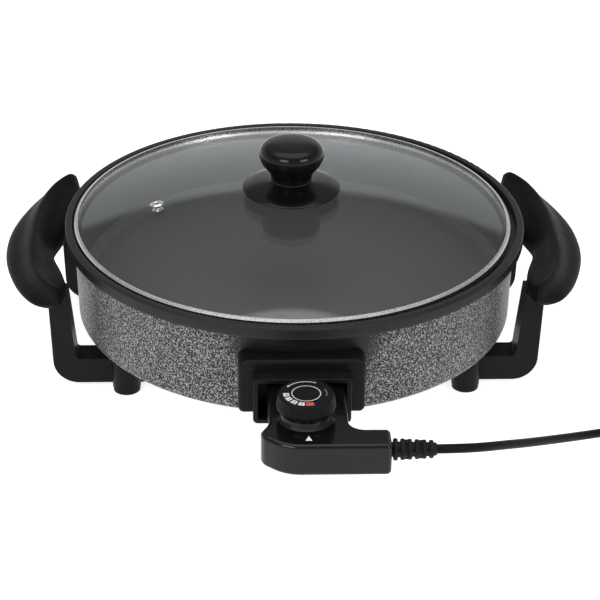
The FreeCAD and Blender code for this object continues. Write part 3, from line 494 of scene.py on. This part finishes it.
def cord_points():
    """The cord's route: out of the relief, down to the table, round the coil and on to the plug."""
    floor = CORD_RADIUS + 0.1
    points = [(EXIT_X + ahead, EXIT_Y + back, height) for ahead, back, height in (
        (-8, 0, EXIT_Z), (17, 0.8, EXIT_Z - 0.3), (38, 12, 61.6), (56, 27.5, 53.2),
        (81, 51.4, 39.7), (108, 79.3, 24.5), (134, 103, 12.2), (160, 119.7, 5.2),
        (188, 129.5, floor), (215, 135.5, floor + 0.2))]
    for degrees in range(COIL_START, COIL_END + COIL_STEP, COIL_STEP):
        degrees = min(degrees, COIL_END)
        radius, height = coil_lane(degrees)
        x, y = on_circle(radius, degrees)
        points.append((COIL_CENTRE[0] + x, COIL_CENTRE[1] + y, height))
    x, y = COIL_CENTRE[0] + COIL_OUTER, COIL_CENTRE[1]
    return points + [(x + 0.5, y + 18, COIL_HIGH + 0.8), (x - 1.5, y + 38, COIL_HIGH + 3.2),
                     (x - 5, y + 57, 19.0)]


def make_cord():
    points = cord_points()
    curve = bpy.data.curves.new("mains_cord", "CURVE")
    curve.dimensions = "3D"
    curve.bevel_depth = CORD_RADIUS * MM
    curve.bevel_resolution = 7
    curve.resolution_u = 6
    curve.use_fill_caps = True
    spline = curve.splines.new("NURBS")
    spline.points.add(len(points) - 1)
    for point, place in zip(spline.points, points):
        point.co = (place[0] * MM, place[1] * MM, place[2] * MM, 1)
    spline.order_u = 3
    spline.use_endpoint_u = True
    cord = bpy.data.objects.new("mains_cord", curve)
    bpy.context.collection.objects.link(cord)
    return cord


# ---------------------------------------------------------------- new pieces

def make_knob():
    """The lid's knob, and the saucer under it that shields it from the glass."""
    knob_low, knob_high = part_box("knob")
    centre_x = (knob_low[0] + knob_high[0]) / 2 / MM
    low, high = knob_low[2] / MM, knob_high[2] / MM
    radius = (knob_high[0] - knob_low[0]) / 2 / MM
    profile = curve_through([
        (16.8, low + 0.05), (18.1, low + 0.5), (18.4, low + 1.5), (18.2, low + 3),
        (18.7, low + 6.4), (20.2, low + 9.8), (22.8, low + 13.4), (26.2, low + 17.6),
        (radius - 0.6, low + 22.4), (radius, low + 26), (radius - 0.5, high - 7.8),
        (radius - 2.6, high - 4.4), (radius - 6.6, high - 1.9), (radius - 13, high - 0.6),
        (7, high - 0.1), (0.1, high)], 5)
    knob = lathe("lid_knob", profile, (centre_x, 0, 0))
    dress(knob, "black_gloss")
    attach(knob, "lid")
    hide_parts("knob")

    shield_low, shield_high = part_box("knob_flange")
    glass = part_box("lid_glass")[1][2] / MM
    edge = (shield_high[0] - shield_low[0]) / 2 / MM
    top = shield_high[2] / MM
    profile = curve_through([
        (3, glass + 0.35), (14, glass + 0.3), (16, glass + 0.25), (20, glass + 1.0),
        (30, glass + 2.4), (edge - 2, glass + 3.9), (edge - 0.4, glass + 4.3),
        (edge, glass + 4.8), (edge - 0.5, glass + 5.3), (edge - 2, glass + 5.9),
        (36, glass + 7.6), (28, glass + 9.1), (21, glass + 10.4), (18.2, top - 0.15),
        (17, top), (3, top)], 4)
    flange = lathe("knob_heat_shield", profile, (centre_x, 0, 0))
    dress(flange, "black_gloss")
    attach(flange, "lid")
    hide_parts("knob_flange")


def sector(inner, outer, start, end, steps=24):
    """Outline of a ring's sector, by bearings in degrees."""
    outer_side = [on_circle(outer, start + (end - start) * i / steps) for i in range(steps + 1)]
    inner_side = [on_circle(inner, end + (start - end) * i / steps) for i in range(steps + 1)]
    return outer_side + inner_side


def flat_print(name, outlines, centre, height):
    """Thin printed shapes: each outline is a strip whose two sides have equal counts."""
    vertices, faces = [], []
    for outline in outlines:
        start = len(vertices)
        count = len(outline)
        for level in (height, height + PRINT_THICKNESS):
            vertices += [(centre[0] + x, centre[1] + y, level) for x, y in outline]
        for i in range(count // 2 - 1):
            quad = (i, i + 1, count - 2 - i, count - 1 - i)
            faces.append(tuple(start + v for v in reversed(quad)))
            faces.append(tuple(start + count + v for v in quad))
        for i in range(count):
            ahead = (i + 1) % count
            faces.append((start + i, start + ahead, start + count + ahead, start + count + i))
    return tidy_normals(add_mesh(name, vertices, faces, smooth=False))


def digit(number, degrees, centre, height):
    """One numeral at a bearing on the dial's face, its foot towards the dial's centre."""
    text = bpy.data.curves.new("digit", "FONT")
    text.body = str(number)
    text.size = 4.3 * MM
    text.align_x, text.align_y = "CENTER", "CENTER"
    text.extrude = 0.02 * MM
    outline = bpy.data.objects.new("digit", text)
    bpy.context.collection.objects.link(outline)
    mesh = bpy.data.meshes.new_from_object(outline)
    bpy.data.objects.remove(outline)
    figure = bpy.data.objects.new("digit", mesh)
    bpy.context.collection.objects.link(figure)
    x, y = on_circle(15.8, degrees)
    place = Vector((centre[0] + x, centre[1] + y, height)) * MM
    turn = Matrix.Rotation(math.radians(degrees) + math.pi / 2, 4, "Z")
    figure.data.transform(Matrix.Translation(place) @ turn)
    return figure


def make_dial():
    """The knurled dial with its raised ring, arrow, numbered boxes and coloured marks."""
    low_corner, high_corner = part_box("dial")
    centre = [(low_corner[i] + high_corner[i]) / 2 / MM for i in (0, 1)]
    low, high = low_corner[2] / MM, high_corner[2] / MM

    def knurl(angle, height):
        share = (min(max((height - low - 2.6) / 0.6, 0), 1)
                 * min(max((high - 1.5 - height) / 0.6, 0), 1))
        wave = abs(math.sin(angle * DIAL_RIBS / 2))
        return -0.55 * share * (1 - wave ** 0.6)

    profile = [
        (3.2, low), (22.4, low), (23.0, low + 0.4), (23.1, low + 1.5), (22.9, low + 2.0),
        (23.5, low + 2.5), (23.45, low + 3.2), (23.2, low + 4.5), (22.85, low + 7),
        (22.5, low + 9.5), (22.3, high - 2.1), (22.15, high - 1.5), (21.9, high - 0.7),
        (21.3, high - 0.2), (20.7, high - 0.02), (20.2, high - 0.05), (19.9, high - 0.22),
        (19.5, high - 0.3), (12.2, high - 0.3), (11.9, high - 0.22), (11.5, high - 0.2),
        (0.1, high - 0.2)]
    dial = lathe("temperature_dial", profile, (*centre, 0), around=DIAL_RIBS * 8, ripple=knurl)
    dress(dial, "dial_black")
    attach(dial, "dial")
    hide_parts("dial")

    face = high - 0.3
    ring = [sector(10.9, 11.6, start, start + 60) for start in range(0, 360, 60)]
    raised = flat_print("dial_ring", ring, centre, high - 0.2)
    arrow = [sector(17.3, 18.0, 62, 140),
             [on_circle(17.65, 147)] * 2 + [on_circle(16.4, 139), on_circle(18.9, 139)]]
    boxes = [sector(13.5, 18.2, stop - 8.6, stop + 8.6, 8) for stop in DIAL_STOPS]
    marks = flat_print("dial_marks", arrow + boxes, centre, face)
    red = flat_print("dial_red_mark", [sector(13.5, 18.2, -93, -70, 10)], centre, face)
    grey = flat_print("dial_grey_mark", [sector(15.5, 16.6, -14, 24, 16)], centre, face)
    numerals = join("dial_numerals", [digit(number, stop, centre, face + 0.08)
                                      for number, stop in enumerate(DIAL_STOPS, start=1)])
    light = printed("dial_print_light", (0.60, 0.60, 0.58))
    for piece, material in (
            (raised, light), (marks, light),
            (red, printed("dial_print_red", (0.52, 0.06, 0.04))),
            (grey, printed("dial_print_grey", (0.10, 0.10, 0.10))),
            (numerals, printed("numeral_black", (0.02, 0.02, 0.02)))):
        piece.data.materials.clear()
        piece.data.materials.append(material)
        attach(piece, "dial")


def make_pointer():
    """The white triangle on the housing that the dial is read against."""
    pointer = flat_print("dial_pointer", [POINTER], (0, 0), HOUSING_TOP + 0.02)
    pointer.data.materials.append(printed("pointer_print", (0.72, 0.72, 0.72)))
    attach(pointer, "thermostat")


def relief_web(start, at, reach, side, upright):
    """A short bar between two ribs, on one side of the sleeve."""

    def out_from(middle):
        return sorted((middle + side * reach / 2, middle + side * reach))

    def over(middle):
        return middle - RELIEF_WEB_HALF, middle + RELIEF_WEB_HALF

    if upright:
        (y0, y1), (z0, z1) = over(EXIT_Y), out_from(EXIT_Z)
    else:
        (y0, y1), (z0, z1) = out_from(EXIT_Y), over(EXIT_Z)
    return block("relief_web", (start + at + 3.0, y0, z0), (start + at + 5.8, y1, z1))


def make_relief():
    """Ribbed sleeve with alternate windows between its ribs."""
    start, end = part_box("strain_relief")[0][0] / MM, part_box("strain_relief")[1][0] / MM
    core = [(3.85, 0), (5.9, 0), (5.8, 1.2)]
    core += [(6.3 - 0.16 * i, 1.2 + RELIEF_PITCH * i) for i in range(1, RELIEF_RIBS + 1)]
    core += [(4.9, end - start), (3.85, end - start)]
    pieces = [lathe("relief_core", core, (start, EXIT_Y, EXIT_Z), 64, axis="x")]
    for index in range(RELIEF_RIBS):
        out = 8.7 - 0.3 * index
        at = 2.65 + RELIEF_PITCH * index
        ring = [(4.2, at), (out - 0.7, at), (out - 0.2, at + 0.25), (out, at + 0.8),
                (out, at + 2.4), (out - 0.2, at + 2.95), (out - 0.7, at + 3.2), (4.2, at + 3.2)]
        pieces.append(lathe("relief_rib", ring, (start, EXIT_Y, EXIT_Z), 64, axis="x"))
        if index < RELIEF_RIBS - 1:
            pieces += [relief_web(start, at, out - 0.5, side, upright=index % 2)
                       for side in (-1, 1)]
    relief = join("cord_strain_relief", pieces)
    dress(relief, "rubber")
    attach(relief, "thermostat")
    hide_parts("strain_relief")


def make_tie():
    """Strap wrapped once round the coil's section."""
    low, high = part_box("cord_tie")
    x0, y0, z0 = (v / MM for v in low)
    x1, y1, z1 = (v / MM for v in high)
    middle_x, middle_z = (x0 + x1) / 2, (z0 + z1) / 2
    half_x, half_z = (x1 - x0) / 2 - 0.5, (z1 - z0) / 2 - 0.5
    corner = 4.0
    loop = []
    for quarter, (side_x, side_z) in enumerate(((1, 1), (-1, 1), (-1, -1), (1, -1))):
        for step in range(9):
            x, z = on_circle(corner, 90 * quarter + 90 * step / 8)
            loop.append((middle_x + side_x * (half_x - corner) + x,
                         middle_z + side_z * (half_z - corner) + z))
    section = [(y0, 0.0), (y0 + 0.3, 0.45), (y1 - 0.3, 0.45),
               (y1, 0.0), (y1 - 0.3, -0.45), (y0 + 0.3, -0.45)]
    count, sides = len(loop), len(section)
    vertices, faces = [], []
    for index, (x, z) in enumerate(loop):
        before, after = loop[index - 1], loop[(index + 1) % count]
        along = Vector((after[0] - before[0], after[1] - before[1])).normalized()
        for y, out in section:
            vertices.append((x + along[1] * out, y, z - along[0] * out))
    for index in range(count):
        a, b = index * sides, ((index + 1) % count) * sides
        for step in range(sides):
            ahead = (step + 1) % sides
            faces.append((a + step, a + ahead, b + ahead, b + step))
    tie = tidy_normals(add_mesh("cord_strap", vertices, faces))
    dress(tie, "tie_plastic")
    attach(tie, "thermostat")
    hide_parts("cord_tie")
    return tie


def make_plug(points):
    """Round moulded plug at the end of the route, with collars on its neck and side earth clips."""
    start, before = Vector(points[-1]), Vector(points[-2])
    heading = math.atan2(start[1] - before[1], start[0] - before[0])
    profile = curve_through([
        (3.9, 0.05), (6.0, 0.05), (6.4, 0.6), (7.0, 6), (7.6, 11), (9.2, 13.6), (12.5, 17),
        (16.2, 20.6), (18.2, 24), (18.9, 27.5), (18.9, 34), (18.9, 41.5), (18.5, 43.1),
        (17.8, 43.45), (17.3, 43.2), (17.2, 41.4), (16.8, 41.0), (0.1, 41.0)], 3)
    pieces = [lathe("plug_shell", profile, (0, 0, 0), 96, axis="x")]
    for index, at in enumerate((8.6, 5.6, 2.6)):
        out = 8.2 - 0.1 * index
        collar = [(4, at), (out - 0.3, at), (out, at + 0.5), (out, at + 1.3),
                  (out - 0.3, at + 1.8), (4, at + 1.8)]
        pieces.append(lathe("plug_collar", collar, (0, 0, 0), 48, axis="x"))
    plug = join("mains_plug_body", pieces)
    turn = Matrix.Translation(start * MM) @ Matrix.Rotation(heading, 4, "Z")
    plug.data.transform(turn)
    dress(plug, "cord_rubber")
    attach(plug, "thermostat")
    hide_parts("mains_plug")

    clips = [block("clip", (30, side * 18.5 - 0.35, -2.3), (43.2, side * 18.5 + 0.35, 2.3))
             for side in (-1, 1)]
    springs = join("plug_earth_clips", clips)
    springs.data.transform(turn)
    soften(springs, 0.25)
    dress(springs, "contact_metal")
    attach(springs, "thermostat")
    return [plug, springs]


# ---------------------------------------------------------------- carried-over pieces and floor

def finish_nodes():
    """Materials of the CAD nodes that stay, and rounded edges on the legs and the housing."""
    for subpart in frame["record"]["subparts"]:
        repaint(nodes[subpart["node"]], MATERIALS[subpart["material_slot"]])

    grip_plastic = plain("grip_plastic", tone(0.0035), tone(0.0055), 0.5, 1300, 0.03, 0.4,
                         specular=0.07)
    for name in ("left_grip", "right_grip"):
        repaint(nodes[name], grip_plastic)

    polished = plain("polished_plastic", tone(0.003), tone(0.004), 0.20, 500, 0.01, 0.08,
                     specular=0.16, coat=0.25, coat_roughness=0.05)
    for name in ("thermostat_base", "thermostat_cover"):
        soften(nodes[name], 0.45, 50)
        repaint(nodes[name], polished)

    for name in ("leg_front_left", "leg_front_right", "leg_rear_left", "leg_rear_right"):
        soften(nodes[name], 0.7, 40)


def make_floor():
    """Pale sheet that the pan stands on, glowing a little so that its shadows stay light."""
    corners = [(x, y, -FLOOR_DROP) for x, y in ((-FLOOR_REACH, -FLOOR_REACH),
                                                (FLOOR_REACH, -FLOOR_REACH),
                                                (FLOOR_REACH, FLOOR_REACH),
                                                (-FLOOR_REACH, FLOOR_REACH))]
    floor = add_mesh("studio_floor", corners, [(0, 1, 2, 3)], smooth=False)
    paper = plain("pale_floor", (0.53, 0.53, 0.53), (0.55, 0.55, 0.55), 0.8, 60, 0.02, 0.1,
                  specular=0.1)
    shader = shader_of(paper)
    shader.inputs["Emission Color"].default_value = (1, 1, 1, 1)
    shader.inputs["Emission Strength"].default_value = FLOOR_GLOW
    floor.data.materials.append(paper)


make_camera()
make_light()

cord = dress(make_cord(), "cord_rubber")
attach(cord, "thermostat")
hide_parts("cord_lead", "cord_coil", "cord_tail")

make_knob()
make_dial()
make_pointer()
make_relief()
tie = make_tie()
plug_pieces = make_plug(cord_points())
tuple(v * MM for v in cord_points()[0])

finish_nodes()
make_floor()
